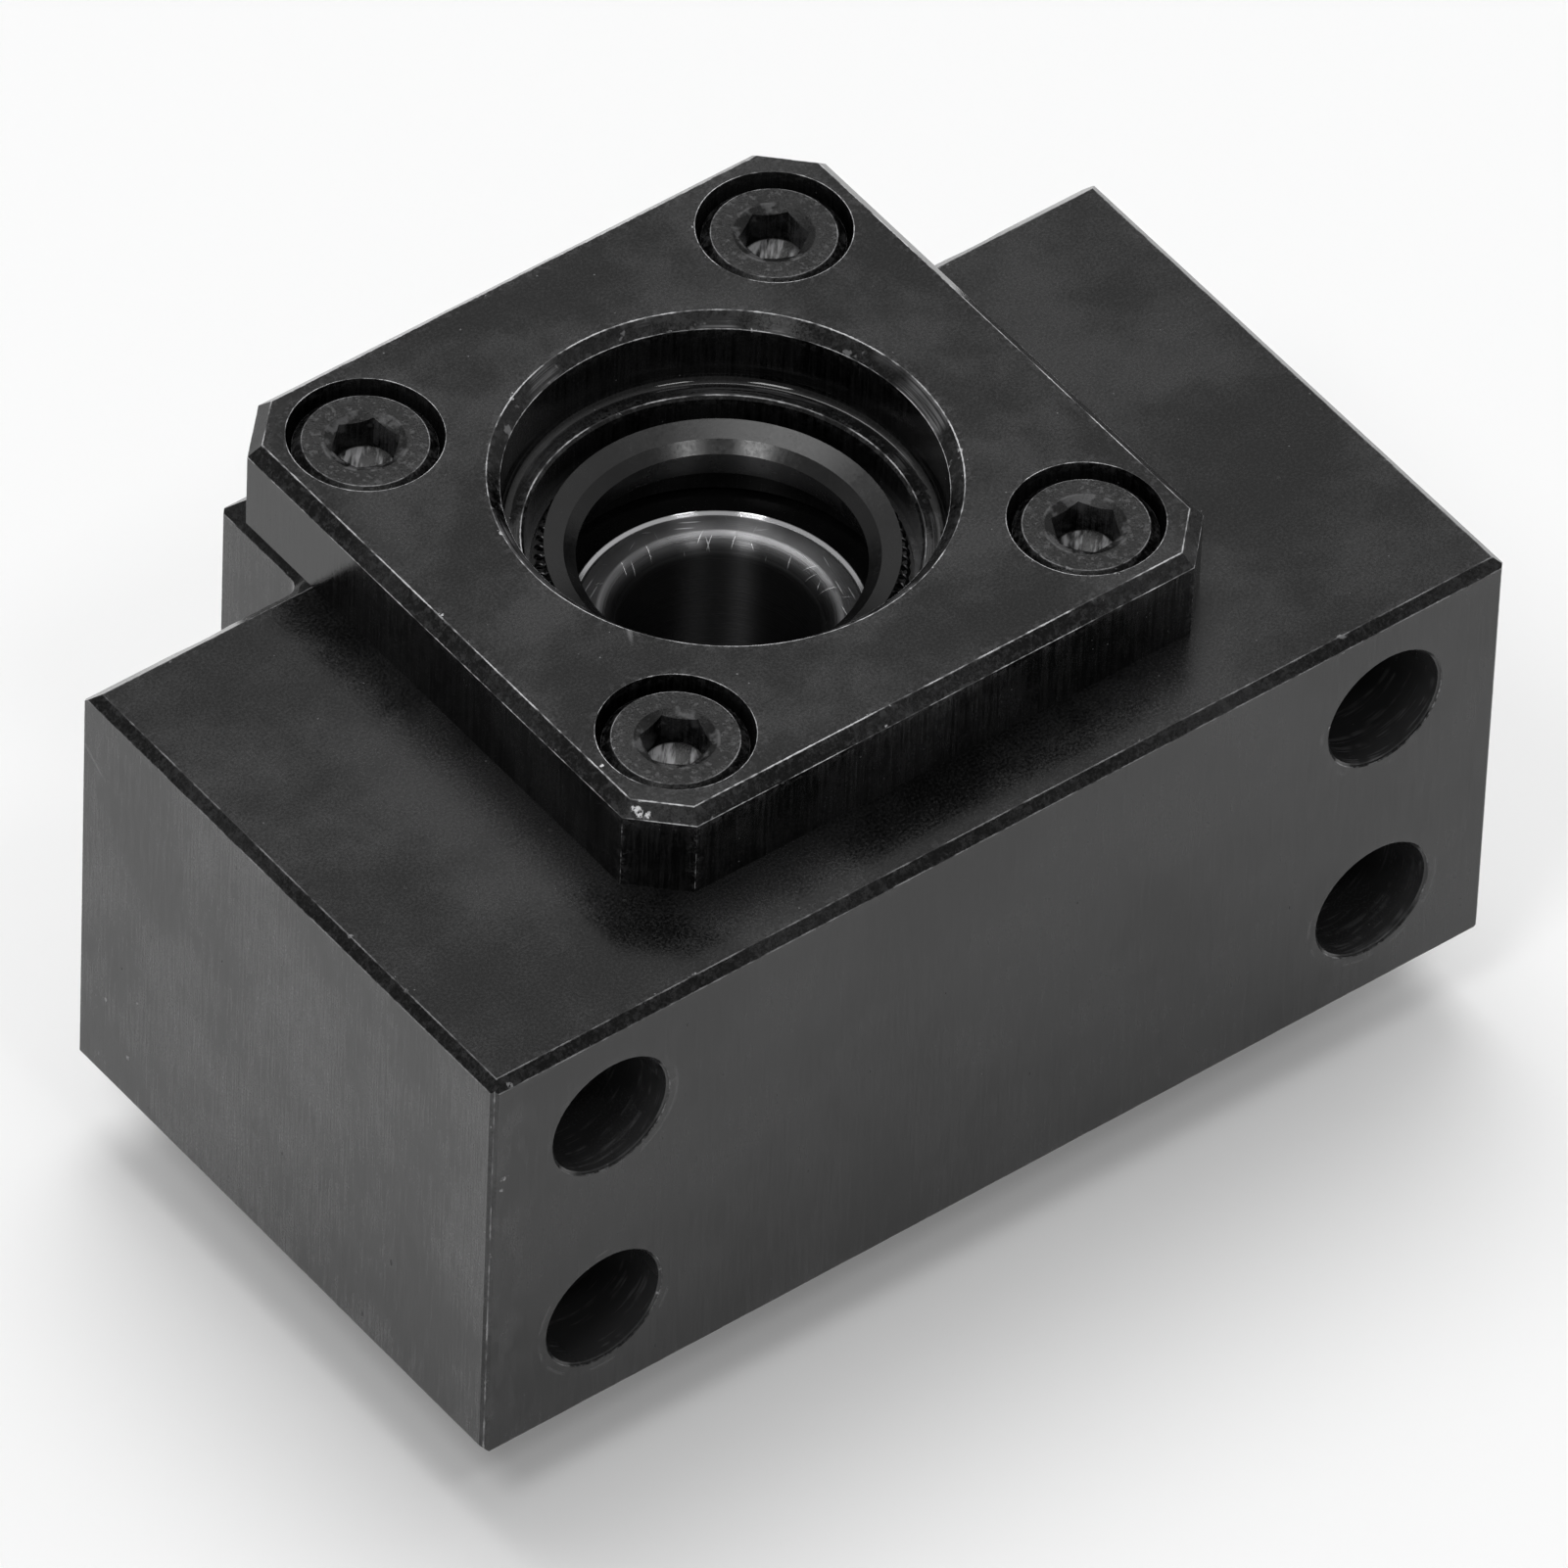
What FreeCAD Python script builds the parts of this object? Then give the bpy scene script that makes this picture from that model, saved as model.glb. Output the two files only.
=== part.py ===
import FreeCAD
import Part
import Sketcher
import math
import os

# Fixed-side end support for a ball screw, square type, 10 mm journal.
# The bearing axis is Z, with the lid on top. The origin is on that axis, in the rear face of the
# housing. X runs along the mounting holes and the mounting face looks towards -Y.

sizes = {
    # housing
    "flangeWidth": 60.0,  # across both mounting flanges
    "axisHeight": 22.0,  # bearing axis above the mounting face
    "flangeHeight": 32.4,  # mounting face to the top of the flanges
    "fullHeight": 38.9,  # mounting face to the top of the middle
    "tongueWidth": 34.2,  # raised middle between the flanges
    "stepRadius": 0.8,  # inside corner between flange and middle
    "frontEdge": 0.5,  # chamfer of the front face, mounting side and ends
    "stepEdge": 1.0,  # the same face along the flange tops and the middle
    "rearEnd": 0.65,  # chamfer of the rear face, at the two ends
    "rearEdge": 0.25,  # and elsewhere
    "sideEdge": 0.3,  # edges that run along the axis
    "seatBore": 26.0,  # bearing seat
    "rearWall": 4.6,  # rear face to the bearing shoulder
    "sealLedge": 0.65,  # step behind each seal, down to the passage to the bearing
    "boreEdge": 0.4,
    # mounting holes
    "holeToEnd": 7.0,
    "holeToRear": 6.0,
    "holeToFront": 6.0,
    "holeBore": 6.6,
    "headBore": 10.5,
    "headDepth": 5.0,
    "holeEdge": 0.15,
    # lid
    "lidThickness": 5.0,
    "lidCorner": 2.5,
    "lidEdge": 0.65,
    "spigotGap": 0.05,  # radial, lid in the bearing seat
    "spigotLength": 4.4,
    "recessLedge": 1.2,  # floor of the lock nut's recess, round the seal
    "recessDepth": 4.0,
    "recessMouth": 0.65,
    "recessFoot": 0.5,
    "sealEdge": 0.15,
    # lid screws
    "screwPitch": 24.3,
    "screwInset": 5.05,  # screw axis to the lid's side
    "screwSize": 4.0,
    "screwReach": 10.0,  # under the head
    "headWidth": 7.0,
    "headHeight": 2.8,
    "headSink": 0.4,  # head below the lid's face
    "headRim": 0.45,
    "headGap": 0.3,  # radial, head in its counterbore
    "shankGap": 0.2,  # radial, shank in the lid
    "threadGap": 0.03,  # radial, shank in the tapped hole
    "tapSpare": 1.0,  # tapped hole beyond the screw tip
    "socketWidth": 3.0,  # across flats
    "socketDepth": 1.8,
    "socketCone": 0.5,
    "socketMouth": 0.25,
    "socketMouthDepth": 1.0,
    # shaft seals, from the collar outwards
    "sealHeight": 2.6,
    "sealSink": 0.5,  # seal below the recess floor
    "rearSink": 0.2,  # rear seal inside the rear face
    "lipGap": 0.05,  # radial, round the collar
    "lipDepth": 0.85,  # sealing edge below the rim
    "lipFlare": 0.5,  # bore behind the sealing edge
    "faceFlare": 0.6,  # sealing edge to the sloped front face
    "faceDrop": 0.4,
    "lipWall": 0.95,
    "lipUndercut": 0.23,
    "lipCap": 0.7,
    "caseRoom": 0.95,  # lip to the seal's seat
    "caseWall": 0.3,
    "caseHeight": 1.0,
    "webHeight": 0.6,
    "springRadius": 0.34,
    # rear collar
    "collarWidth": 13.8,
    "collarProud": 5.0,  # beyond the rear face
    "collarNose": 0.6,
    "noseStep": 0.5,
    "collarEdge": 0.4,
    # bearings, 10 x 26 x 8
    "journal": 10.0,
    "bearingLength": 8.0,
    "bearingEdge": 0.3,
    "mouthRadius": 0.95,  # rounded mouth of the inner ring
    "landWall": 2.27,  # bore to the land that the shields close on
    "rimStart": 0.41,  # fine groove in the ring's face, just inside the land
    "rimFoot": 0.28,
    "rimDepth": 0.14,
    "rimEdge": 0.05,
    "landLength": 1.5,
    "innerDrop": 1.4,  # ball circle to the inner shoulder
    "outerRise": 1.5,  # ball circle to the outer shoulder
    "reliefRise": 2.1,  # the same on the opened, paired side
    "mouthWall": 1.9,  # outer ring's wall at its mouth
    "grooveWall": 1.5,  # and at the shield's groove
    "grooveLength": 0.9,
    "ballWidth": 4.762,
    "ballCount": 9,
    "trackGap": 0.08,  # ball to raceway
    "cageWall": 1.8,
    "cageLength": 5.6,
    "pocketGap": 0.08,
    "shieldSink": 0.3,
    "shieldLength": 0.65,
    "shieldGap": 0.05,  # radial, in its groove and over the inner ring
}

document = FreeCAD.newDocument("EndSupport")
sheet = document.addObject("Spreadsheet::Sheet", "Sizes")
for row, (alias, amount) in enumerate(sizes.items(), start=1):
    sheet.set(f"A{row}", alias)
    sheet.set(f"B{row}", str(amount))
    sheet.setAlias(f"B{row}", alias)
document.recompute()


class Length:
    # a number together with the sheet formula that gives it

    def __init__(self, number, formula=None):
        self.number = float(number)
        self.formula = formula or str(float(number))

    def joined(self, other, sign, number):
        other = other if isinstance(other, Length) else Length(other)
        return Length(number(self.number, other.number), f"({self.formula} {sign} {other.formula})")

    def __add__(self, other):
        return self.joined(other, "+", lambda a, b: a + b)

    def __sub__(self, other):
        return self.joined(other, "-", lambda a, b: a - b)

    def __mul__(self, other):
        return self.joined(other, "*", lambda a, b: a * b)

    def __truediv__(self, other):
        return self.joined(other, "/", lambda a, b: a / b)

    def __neg__(self):
        return Length(0) - self


def size(alias):
    return Length(sizes[alias], f"Sizes.{alias}")


def radius(alias):
    return size(alias) / 2


zero = Length(0)


def originPart(body, role):
    return next(part for part in body.Origin.OriginFeatures if part.Role == role)


def newBody(label):
    body = document.addObject("PartDesign::Body", label)
    body.Label = label
    return body


def newSketch(body, role, name, offset=zero):
    sketch = body.newObject("Sketcher::SketchObject", name)
    sketch.AttachmentSupport = [(originPart(body, role), "")]
    sketch.MapMode = "FlatFace"
    sketch.setExpression("AttachmentOffset.Base.z", offset.formula)
    return sketch


def bind(sketch, constraint, length):
    index = sketch.addConstraint(constraint)
    sketch.setExpression(f"Constraints[{index}]", length.formula)


def place(sketch, item, point, across, up):
    # ties an item's point, 1 for its start and 3 for its centre, to the sketch origin at (-1, 1)
    bind(sketch, Sketcher.Constraint("DistanceX", -1, 1, item, point, across.number), across)
    bind(sketch, Sketcher.Constraint("DistanceY", -1, 1, item, point, up.number), up)


def addOutline(sketch, corners):
    # closed polygon through corners given as pairs of lengths
    points = [FreeCAD.Vector(across.number, up.number, 0) for across, up in corners]
    count = len(points)
    for index in range(count):
        sketch.addGeometry(Part.LineSegment(points[index], points[(index + 1) % count]), False)
    for index in range(count):
        following = (index + 1) % count
        sketch.addConstraint(Sketcher.Constraint("Coincident", index, 2, following, 1))
    for index, (across, up) in enumerate(corners):
        place(sketch, index, 1, across, up)


def addCircle(sketch, across, up, circleRadius):
    middle = FreeCAD.Vector(across.number, up.number, 0)
    item = sketch.addGeometry(Part.Circle(middle, FreeCAD.Vector(0, 0, 1), circleRadius.number), False)
    place(sketch, item, 3, across, up)
    bind(sketch, Sketcher.Constraint("Radius", item, circleRadius.number), circleRadius)


def turned(body, name, corners, cut=False):
    # solid of revolution, or groove, about Z from (radius, height) corners
    sketch = newSketch(body, "XZ_Plane", f"{name}Profile")
    addOutline(sketch, corners)
    return spin(body, name, sketch, cut)


def spin(body, name, sketch, cut):
    feature = body.newObject("PartDesign::Groove" if cut else "PartDesign::Revolution", name)
    feature.Profile = sketch
    feature.ReferenceAxis = (sketch, ["V_Axis"])
    feature.Angle = 360
    sketch.Visibility = False
    document.recompute()
    return feature


def padded(body, name, sketch, length):
    feature = body.newObject("PartDesign::Pad", name)
    feature.Profile = sketch
    feature.setExpression("Length", length.formula)
    document.recompute()
    return feature


def pocketed(body, name, sketch, depth, reverse=False):
    feature = body.newObject("PartDesign::Pocket", name)
    feature.Profile = sketch
    feature.setExpression("Length", depth.formula)
    feature.Reversed = reverse
    document.recompute()
    return feature


def edgesOf(feature, wanted):
    names = [f"Edge{index + 1}" for index, edge in enumerate(feature.Shape.Edges) if wanted(edge)]
    return (feature, names)


def chamfered(body, name, wanted, length):
    feature = body.newObject("PartDesign::Chamfer", name)
    feature.Base = edgesOf(feature.BaseFeature or body.Tip, wanted)
    feature.setExpression("Size", length.formula)
    document.recompute()
    return feature


def filleted(body, name, wanted, length):
    feature = body.newObject("PartDesign::Fillet", name)
    feature.Base = edgesOf(feature.BaseFeature or body.Tip, wanted)
    feature.setExpression("Radius", length.formula)
    document.recompute()
    return feature


def near(number, target):
    return abs(number - target) < 1e-4


def inLevel(edge, level):
    # the whole edge lies at one height
    return near(edge.BoundBox.ZMin, level.number) and near(edge.BoundBox.ZMax, level.number)


def alongAxis(edge, across, up):
    # straight edge parallel to Z through (across, up), signs ignored across
    box = edge.BoundBox
    return (
        near(box.XLength, 0)
        and near(abs(box.XMin), across.number)
        and near(box.YMin, up.number)
        and near(box.YMax, up.number)
    )


def roundEdge(edge, circleRadius, level):
    # circle about the Z axis at one height
    curve = edge.Curve
    return (
        isinstance(curve, Part.Circle)
        and near(curve.Radius, circleRadius.number)
        and near(curve.Center.z, level.number)
        and math.hypot(curve.Center.x, curve.Center.y) < 1e-3
    )


# radii that several pieces share, from the collar outwards
lipEdge = radius("collarWidth") + size("lipGap")
lipFace = lipEdge + size("faceFlare")
lipRim = lipFace + size("lipWall")
sealSeat = lipRim + size("caseRoom")
passage = sealSeat - size("sealLedge")
recess = sealSeat + size("recessLedge")
ballCircle = (size("journal") + size("seatBore")) / 4
ringLand = radius("journal") + size("landWall")
shieldGroove = radius("seatBore") - size("grooveWall")
halfLid = size("screwPitch") / 2 + size("screwInset")

# heights that several pieces share
seatFloor = size("rearWall")
pairJoint = seatFloor + size("bearingLength")
seatFront = pairJoint + size("bearingLength")
lidFoot = seatFront + size("spigotLength")
lidFace = lidFoot + size("lidThickness")
recessFloor = lidFace - size("recessDepth")
frontSealTop = recessFloor - size("sealSink")
frontSealBase = frontSealTop - size("sealHeight")
rearSealTop = size("rearSink")
rearSealBase = rearSealTop + size("sealHeight")
headTop = lidFace - size("headSink")
headFoot = headTop - size("headHeight")
screwTip = headFoot - size("screwReach")
flangeTop = size("flangeHeight") - size("axisHeight")
mountFace = -size("axisHeight")


def screwSpots():
    # the four lid screws, as lengths along X and Y
    reach = size("screwPitch") / 2
    return [(reach * side, reach * end) for side in (-1, 1) for end in (-1, 1)]


def makeHousing():
    body = newBody("housing")
    halfFlange = size("flangeWidth") / 2
    halfTongue = size("tongueWidth") / 2
    tongueTop = size("fullHeight") - size("axisHeight")

    sketch = newSketch(body, "XY_Plane", "HousingOutline")
    addOutline(sketch, [
        (-halfFlange, mountFace),
        (halfFlange, mountFace),
        (halfFlange, flangeTop),
        (halfTongue, flangeTop),
        (halfTongue, tongueTop),
        (-halfTongue, tongueTop),
        (-halfTongue, flangeTop),
        (-halfFlange, flangeTop),
    ])
    padded(body, "HousingBlock", sketch, lidFoot)
    filleted(body, "StepCorner", lambda edge: alongAxis(edge, halfTongue, flangeTop), size("stepRadius"))
    chamfered(
        body,
        "StepEdge",
        lambda edge: inLevel(edge, lidFoot) and edge.BoundBox.YMin > flangeTop.number - 1e-4,
        size("stepEdge"),
    )
    chamfered(
        body,
        "FrontEdge",
        lambda edge: inLevel(edge, lidFoot)
        and (near(edge.BoundBox.YMax, mountFace.number) or near(edge.BoundBox.XLength, 0))
        and near(edge.BoundBox.YMin, mountFace.number),
        size("frontEdge"),
    )
    chamfered(
        body,
        "RearEnd",
        lambda edge: inLevel(edge, zero)
        and near(edge.BoundBox.XLength, 0)
        and near(abs(edge.BoundBox.XMin), halfFlange.number),
        size("rearEnd"),
    )
    chamfered(
        body,
        "RearEdge",
        lambda edge: inLevel(edge, zero)
        and abs(edge.BoundBox.XMin + edge.BoundBox.XMax) < 2 * (halfFlange - size("rearEnd")).number - 1e-4,
        size("rearEdge"),
    )
    chamfered(
        body,
        "SideEdge",
        lambda edge: any(
            alongAxis(edge, *corner)
            for corner in ((halfFlange, mountFace), (halfFlange, flangeTop), (halfTongue, tongueTop))
        ),
        size("sideEdge"),
    )

    # stepped bore: rear seal seat, passage, bearing seat
    seat = radius("seatBore")
    edge = size("boreEdge")
    turned(body, "SteppedBore", [
        (zero, zero),
        (sealSeat + edge / 2, zero),
        (sealSeat, edge / 2),
        (sealSeat, rearSealBase),
        (passage, rearSealBase),
        (passage, seatFloor),
        (seat, seatFloor),
        (seat, lidFoot - edge),
        (seat + edge, lidFoot),
        (zero, lidFoot),
    ], cut=True)

    # mounting holes, drilled from the flange tops down to the mounting face
    overlap = size("stepRadius")
    for name, bore, start, depth in (
        ("HeadRecess", "headBore", flangeTop + overlap, size("headDepth") + overlap),
        ("MountHole", "holeBore", flangeTop, size("flangeHeight")),
    ):
        sketch = newSketch(body, "XZ_Plane", f"{name}Spots", -start)
        for side in (-1, 1):
            for up in (size("holeToRear"), lidFoot - size("holeToFront")):
                addCircle(sketch, (halfFlange - size("holeToEnd")) * side, up, radius(bore))
        pocketed(body, name, sketch, depth, reverse=True)
    chamfered(
        body,
        "HoleMouth",
        lambda edge: isinstance(edge.Curve, Part.Circle)
        and near(edge.Curve.Radius, radius("holeBore").number)
        and near(edge.Curve.Center.y, mountFace.number),
        size("holeEdge"),
    )

    # tapped holes for the lid screws
    sketch = newSketch(body, "XY_Plane", "TappedSpots", lidFoot)
    for across, up in screwSpots():
        addCircle(sketch, across, up, radius("screwSize") + size("threadGap"))
    pocketed(body, "TappedHole", sketch, lidFoot - screwTip + size("tapSpare"))
    return body


def makeLid():
    body = newBody("lid")
    half = halfLid
    cut = half - size("lidCorner")
    sketch = newSketch(body, "XY_Plane", "LidOutline", lidFoot)
    addOutline(sketch, [
        (-cut, -half),
        (cut, -half),
        (half, -cut),
        (half, cut),
        (cut, half),
        (-cut, half),
        (-half, cut),
        (-half, -cut),
    ])
    padded(body, "LidPlate", sketch, size("lidThickness"))
    chamfered(body, "LidEdge", lambda edge: inLevel(edge, lidFace), size("lidEdge"))

    # spigot that reaches into the seat and holds the outer rings
    spigot = radius("seatBore") - size("spigotGap")
    edge = size("boreEdge")
    turned(body, "Spigot", [
        (passage, seatFront),
        (spigot - edge, seatFront),
        (spigot, seatFront + edge),
        (spigot, lidFoot + edge),
        (passage, lidFoot + edge),
    ])

    # recess for the lock nut, seal seat and passage
    mouth = size("recessMouth")
    turned(body, "LidBore", [
        (zero, seatFront),
        (passage, seatFront),
        (passage, frontSealBase),
        (sealSeat, frontSealBase),
        (sealSeat, recessFloor - size("sealEdge")),
        (sealSeat + size("sealEdge"), recessFloor),
        (recess, recessFloor),
        (recess, lidFace - mouth),
        (recess + mouth, lidFace),
        (zero, lidFace),
    ], cut=True)
    filleted(body, "RecessFoot", lambda edge: roundEdge(edge, recess, recessFloor), size("recessFoot"))

    for name, holeRadius, start, depth in (
        ("ScrewHead", radius("headWidth") + size("headGap"), lidFace, lidFace - headFoot),
        ("ScrewHole", radius("screwSize") + size("shankGap"), headFoot, headFoot - lidFoot),
    ):
        sketch = newSketch(body, "XY_Plane", f"{name}Spots", start)
        for across, up in screwSpots():
            addCircle(sketch, across, up, holeRadius)
        pocketed(body, name, sketch, depth)
    return body


def makeScrew(index, across, up):
    # socket cap screw, head up, with a hexagon socket that ends in a drill cone
    body = newBody(f"lid_screw_{index}")
    head = radius("headWidth")
    shank = radius("screwSize")
    tipEdge = size("screwSize") / 10
    rim = size("headRim")
    turned(body, "ScrewBody", [
        (zero, screwTip),
        (shank - tipEdge, screwTip),
        (shank, screwTip + tipEdge),
        (shank, headFoot),
        (head, headFoot),
        (head, headTop - rim),
        (head - rim, headTop),
        (zero, headTop),
    ])
    sketch = newSketch(body, "XY_Plane", "SocketOutline", headTop)
    corner = size("socketWidth") / math.sqrt(3)
    turn = math.radians(15 + 25 * index)
    addOutline(sketch, [
        (corner * math.cos(turn + side * math.pi / 3), corner * math.sin(turn + side * math.pi / 3))
        for side in range(6)
    ])
    pocketed(body, "Socket", sketch, size("socketDepth"))
    socketFloor = headTop - size("socketDepth")
    mouth = corner + size("socketMouth")
    turned(body, "DrillCone", [
        (zero, socketFloor - size("socketCone")),
        (radius("socketWidth"), socketFloor),
        (zero, socketFloor),
    ], cut=True)
    turned(body, "SocketMouth", [
        (zero, headTop - size("socketMouthDepth")),
        (mouth, headTop),
        (zero, headTop),
    ], cut=True)
    body.setExpression("Placement.Base.x", across.formula)
    body.setExpression("Placement.Base.y", up.formula)
    return body


def makeScrews():
    screws = document.addObject("Part::Compound", "lid_screws")
    screws.Label = "lid_screws"
    screws.Links = [makeScrew(index, across, up) for index, (across, up) in enumerate(screwSpots())]
    return screws


def makeSeal(label, base, facing):
    # shaft seal with a case, a web and a sprung lip; facing is 1 with the lip open upwards
    body = newBody(label)
    waist = lipRim - size("lipUndercut")
    case = sealSeat - size("caseWall")
    rim = size("sealHeight")

    def level(height):
        return base + height * facing

    turned(body, "SealRing", [
        (sealSeat, level(zero)),
        (sealSeat, level(size("caseHeight"))),
        (case, level(size("caseHeight"))),
        (case, level(size("webHeight"))),
        (waist, level(size("webHeight"))),
        (waist, level(rim - size("lipCap"))),
        (lipRim, level(rim - size("lipCap"))),
        (lipRim, level(rim)),
        (lipFace, level(rim - size("faceDrop"))),
        (lipEdge, level(rim - size("lipDepth"))),
        (lipEdge + size("lipFlare"), level(zero)),
    ])
    return body


def makeSealSpring(label, base, facing):
    # garter spring round the lip, as the plain ring that its coils fill
    body = newBody(label)
    coil = size("springRadius")
    waist = lipRim - size("lipUndercut")
    height = size("sealHeight") - size("lipCap") - coil
    sketch = newSketch(body, "XZ_Plane", "CoilSection")
    addCircle(sketch, waist + coil, base + height * facing, coil)
    spin(body, "Coil", sketch, False)
    return body


def makeCollar():
    body = newBody("rear_collar")
    outer = radius("collarWidth")
    bore = radius("journal")
    edge = size("collarEdge")
    nose = outer - size("noseStep")
    foot = -size("collarProud")
    shoulder = seatFloor - size("collarNose")
    turned(body, "Collar", [
        (bore + edge, foot),
        (outer - edge, foot),
        (outer, foot + edge),
        (outer, shoulder - edge),
        (outer - edge, shoulder),
        (nose, shoulder),
        (nose, seatFloor),
        (bore + edge / 2, seatFloor),
        (bore, seatFloor - edge / 2),
        (bore, foot + edge),
    ])
    return body


def makeInnerRing(label, base):
    body = newBody(label)
    bore = radius("journal")
    shoulder = ballCircle - size("innerDrop")
    top = base + size("bearingLength")
    # one end's corners from the bore outwards, as (radius, depth below the face)
    corners = [
        (bore, zero),
        (ringLand - size("rimStart"), zero),
        (ringLand - size("rimFoot"), size("rimDepth")),
        (ringLand - size("rimEdge"), zero),
        (ringLand, size("rimEdge")),
        (ringLand, size("landLength")),
        (shoulder, size("landLength")),
    ]
    lower = [(across, base + depth) for across, depth in corners]
    upper = [(across, top - depth) for across, depth in reversed(corners)]
    turned(body, "Ring", lower + upper)
    filleted(
        body,
        "Mouth",
        lambda edge: roundEdge(edge, bore, base) or roundEdge(edge, bore, top),
        size("mouthRadius"),
    )
    cutTrack(body, base)
    return body


def cutTrack(body, base):
    # raceway, a little larger than the balls
    sketch = newSketch(body, "XZ_Plane", "TrackSection")
    middle = base + size("bearingLength") / 2
    addCircle(sketch, ballCircle, middle, radius("ballWidth") + size("trackGap"))
    spin(body, "Track", sketch, True)


def makeOuterRing(label, base, facing):
    # facing is 1 where the open shoulder is on the upper side
    body = newBody(label)
    outer = radius("seatBore")
    edge = size("bearingEdge")
    mouth = outer - size("mouthWall")
    shoulder = ballCircle + size("outerRise")
    grooveStart = size("shieldSink")
    grooveEnd = grooveStart + size("grooveLength")
    length = size("bearingLength")
    start = base if facing == 1 else base + length

    def level(height):
        return start + height * facing

    turned(body, "Ring", [
        (mouth, level(zero)),
        (outer - edge, level(zero)),
        (outer, level(edge)),
        (outer, level(length - edge)),
        (outer - edge, level(length)),
        (mouth, level(length)),
        (mouth, level(length - grooveStart)),
        (shieldGroove, level(length - grooveStart)),
        (shieldGroove, level(length - grooveEnd)),
        (ballCircle + size("reliefRise"), level(length - grooveEnd)),
        (shoulder, level(length / 2)),
        (shoulder, level(grooveEnd)),
        (shieldGroove, level(grooveEnd)),
        (shieldGroove, level(grooveStart)),
        (mouth, level(grooveStart)),
    ])
    cutTrack(body, base)
    return body


def makeCage(label, base):
    body = newBody(label)
    middle = base + size("bearingLength") / 2
    half = size("cageLength") / 2
    inner = ballCircle - size("cageWall") / 2
    outer = ballCircle + size("cageWall") / 2
    turned(body, "Ring", [
        (inner, middle - half),
        (outer, middle - half),
        (outer, middle + half),
        (inner, middle + half),
    ])
    # one radial pocket, outwards from the axis, then the rest
    sketch = newSketch(body, "YZ_Plane", "PocketOutline")
    addCircle(sketch, zero, middle, radius("ballWidth") + size("pocketGap"))
    pocket = pocketed(body, "Pocket", sketch, outer * 2, reverse=True)
    pattern = body.newObject("PartDesign::PolarPattern", "Pockets")
    pattern.Originals = [pocket]
    pattern.Axis = (originPart(body, "Z_Axis"), [""])
    pattern.Angle = 360
    pattern.setExpression("Occurrences", "Sizes.ballCount")
    body.Tip = pattern
    document.recompute()
    return body


def makeBalls(label, base):
    balls = document.addObject("Part::Compound", label)
    balls.Label = label
    count = int(sizes["ballCount"])
    links = []
    for index in range(count):
        ball = document.addObject("Part::Sphere", f"{label}_{index}")
        turn = 2 * math.pi * index / count
        ball.setExpression("Radius", radius("ballWidth").formula)
        ball.setExpression("Placement.Base.x", (ballCircle * math.cos(turn)).formula)
        ball.setExpression("Placement.Base.y", (ballCircle * math.sin(turn)).formula)
        ball.setExpression("Placement.Base.z", (base + size("bearingLength") / 2).formula)
        links.append(ball)
    balls.Links = links
    return balls


def makeShield(label, face, inward):
    # rubber-covered bearing seal, set in its groove; inward is the way into the bearing
    body = newBody(label)
    gap = size("shieldGap")
    rim = shieldGroove - gap
    inner = ringLand + gap
    start = face + size("shieldSink") * inward
    length = size("shieldLength")
    turned(body, "Disc", [
        (inner, start),
        (rim, start),
        (rim, start + length * inward),
        (inner, start + length * inward),
    ])
    return body


def makeBearing(name, base, facing):
    top = base + size("bearingLength")
    return [
        makeOuterRing(f"{name}_outer_ring", base, facing),
        makeInnerRing(f"{name}_inner_ring", base),
        makeCage(f"{name}_cage", base),
        makeBalls(f"{name}_balls", base),
        makeShield(f"{name}_lower_shield", base, 1),
        makeShield(f"{name}_upper_shield", top, -1),
    ]


nodes = [makeHousing(), makeLid(), makeScrews(), makeCollar()]
nodes += makeBearing("rear_bearing", seatFloor, 1)
nodes += makeBearing("front_bearing", pairJoint, -1)
for name, base, facing in (("rear", rearSealBase, -1), ("front", frontSealBase, 1)):
    nodes.append(makeSeal(f"{name}_seal", base, facing))
    nodes.append(makeSealSpring(f"{name}_seal_spring", base, facing))
document.recompute()

for item in document.Objects:
    if "Invalid" in item.State or "Error" in item.State:
        raise RuntimeError(f"{item.Label} failed: {item.State}")
    if item.TypeId in ("PartDesign::Pocket", "PartDesign::Groove"):
        removed = item.BaseFeature.Shape.Volume - item.Shape.Volume
        if removed < 1e-3:
            raise RuntimeError(f"{item.Label} of {item.getParentGeoFeatureGroup().Label} cuts nothing")
for node in nodes:
    if node.Shape.isNull() or not node.Shape.isValid():
        raise RuntimeError(f"{node.Label} has no valid shape")

os.makedirs("parts", exist_ok=True)
for node in nodes:
    node.Shape.exportStep(f"parts/{node.Label}.step")
    print(f"{node.Label}: {len(node.Shape.Solids)} solid(s), {node.Shape.Volume:.1f} mm3")
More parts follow.
